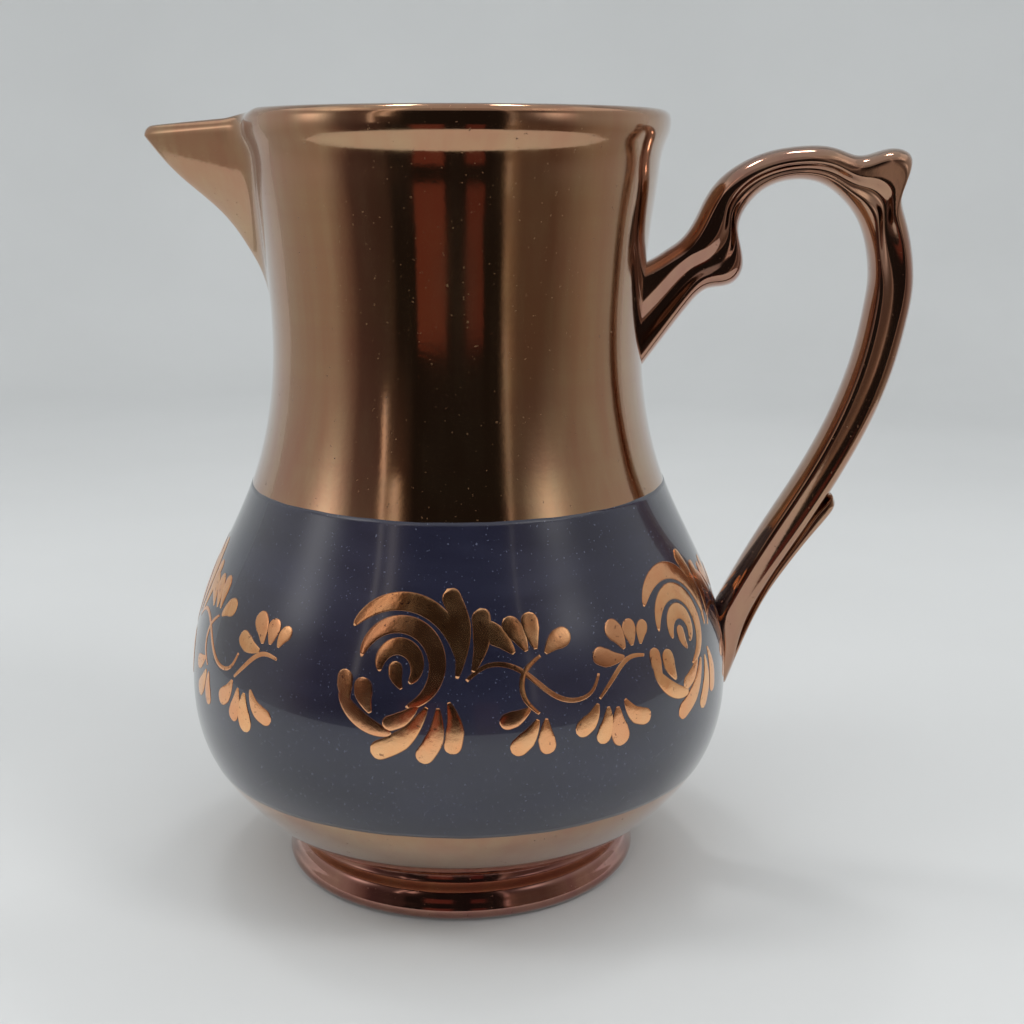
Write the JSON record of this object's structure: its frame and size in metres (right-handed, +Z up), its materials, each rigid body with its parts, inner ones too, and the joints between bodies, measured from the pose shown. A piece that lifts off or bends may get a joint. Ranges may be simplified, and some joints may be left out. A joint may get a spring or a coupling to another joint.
{
  "type": "ceramic jug",
  "caption": "Footed baluster jug in copper-lustre glazed ceramic, with a beak spout, a scrolled handle and a blue band painted with lustre flower sprays.",
  "frame": {"origin": "centre of the circle on which the foot rests, on the axis of the body", "axes": "+Z up the axis of the body, -X towards the tip of the spout, +X towards the handle"},
  "size_m": [0.1477, 0.1079, 0.15],
  "materials": {
    "copper_lustre": "mirror-like copper lustre over glaze",
    "foot_lustre": "copper lustre with a pink cast",
    "handle_lustre": "mirror-like copper lustre over glaze",
    "cobalt_blue": "glossy cobalt-blue enamel",
    "painted_lustre": "hand-painted copper lustre strokes"
  },
  "bodies": {
    "root": {"body_shell": "copper_lustre", "foot_ring": "foot_lustre", "spout": "copper_lustre", "handle": "handle_lustre", "blue_band": "cobalt_blue", "spray_1": "painted_lustre", "spray_2": "painted_lustre", "spray_3": "painted_lustre", "spray_4": "painted_lustre", "spray_5": "painted_lustre"}
  },
  "joints": []
}
